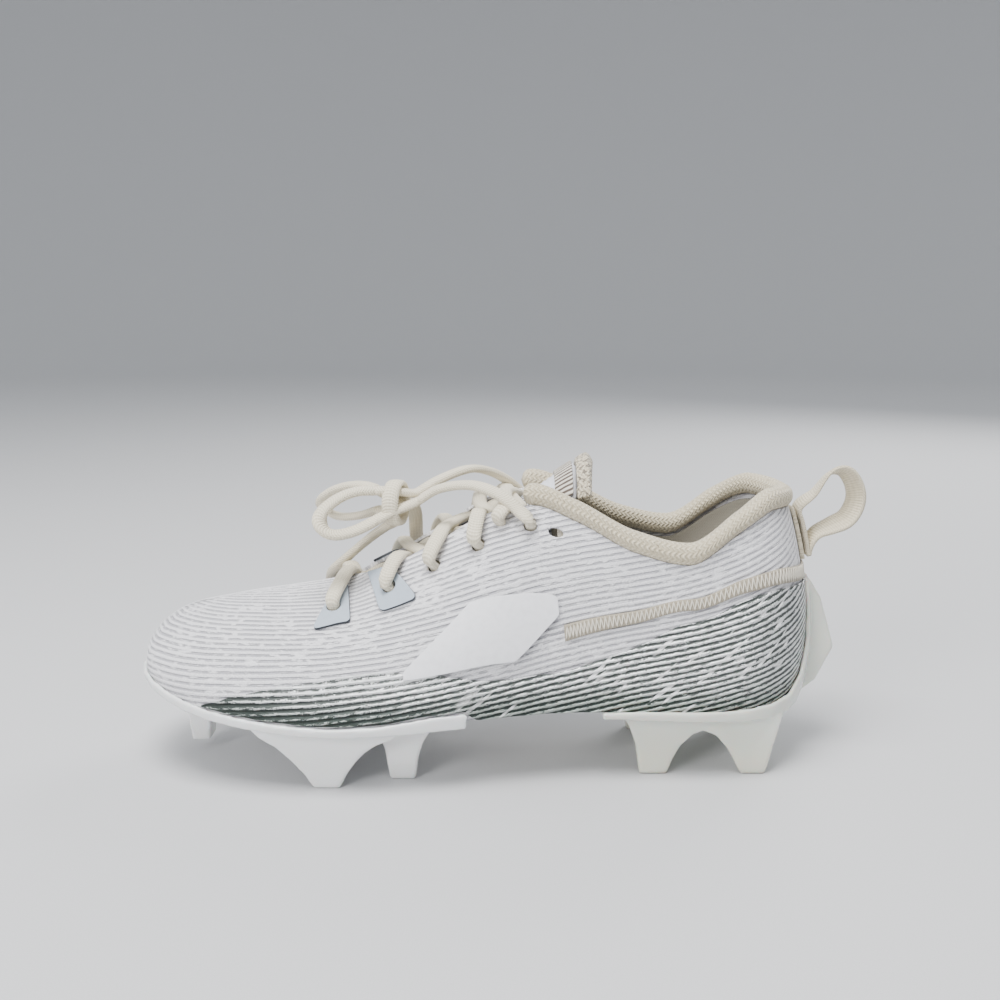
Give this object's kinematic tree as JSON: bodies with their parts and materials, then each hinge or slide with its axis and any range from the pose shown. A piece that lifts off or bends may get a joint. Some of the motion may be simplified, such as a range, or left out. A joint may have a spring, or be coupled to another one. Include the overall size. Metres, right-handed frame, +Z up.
{
  "type": "studded field boot",
  "caption": "Low-cut left field boot with moulded studded plates, laced knit upper, tongue, padded collar, heel pull loop and removable insole.",
  "frame": {"origin": "on the ground under the centre of the boot's bounding box, laces left out", "axes": "+Z up, -X towards the toe, -Y towards the outer side of the left foot"},
  "size_m": [0.3102, 0.1089, 0.133],
  "materials": {
    "knit": "ribbed knit",
    "foil": "metallised film",
    "film": "smooth satin film",
    "tab": "smooth moulded film",
    "thread": "zigzag stitched tape",
    "cream_knit": "soft padded knit",
    "lining": "brushed knit lining",
    "board": "stiff woven board",
    "foam": "moulded foam with cloth top",
    "plate": "gloss moulded",
    "heel_plate": "gloss moulded, slightly milky",
    "tongue": "soft film over foam",
    "band": "ribbed knit band",
    "lace": "flat woven lace",
    "aglet": "clear gloss tip",
    "webbing": "woven webbing"
  },
  "bodies": {
    "boot": {"knit_vamp": "knit", "knit_heel": "knit", "knit_quarter": "knit", "foil_band_outer": "foil", "foil_band_inner": "foil", "seam_tape": "thread", "side_panel_outer": "film", "side_panel_inner": "film", "lace_tab_front_outer": "tab", "lace_tab_rear_outer": "tab", "lace_tab_front_inner": "tab", "lace_tab_rear_inner": "tab", "collar_roll": "cream_knit", "collar_lining": "lining", "strobel_board": "board", "insole": "foam", "forefoot_plate": "plate", "heel_plate": "heel_plate", "lacing": "lace", "lace_knot": "lace", "bow_loop_outer": "lace", "bow_loop_inner": "lace", "lace_tail_a": "lace", "lace_tail_b": "lace", "aglet_a": "aglet", "aglet_b": "aglet", "heel_webbing": "webbing"},
    "tongue": {"tongue_body": "tongue", "tongue_band": "band", "tongue_binding": "cream_knit"},
    "pull_loop": {"pull_tab": "webbing"}
  },
  "joints": [
    {"name": "tongue_hinge", "type": "hinge", "parent": "boot", "child": "tongue", "pos_m": [-0.07388, 0.00452, 0.062], "axis": [0, 1, 0], "range_deg": [0, 7]},
    {"name": "pull_loop_hinge", "type": "hinge", "parent": "boot", "child": "pull_loop", "pos_m": [0.12942, 0.00452, 0.109], "axis": [0, -1, 0], "range_deg": [0, 25]}
  ]
}
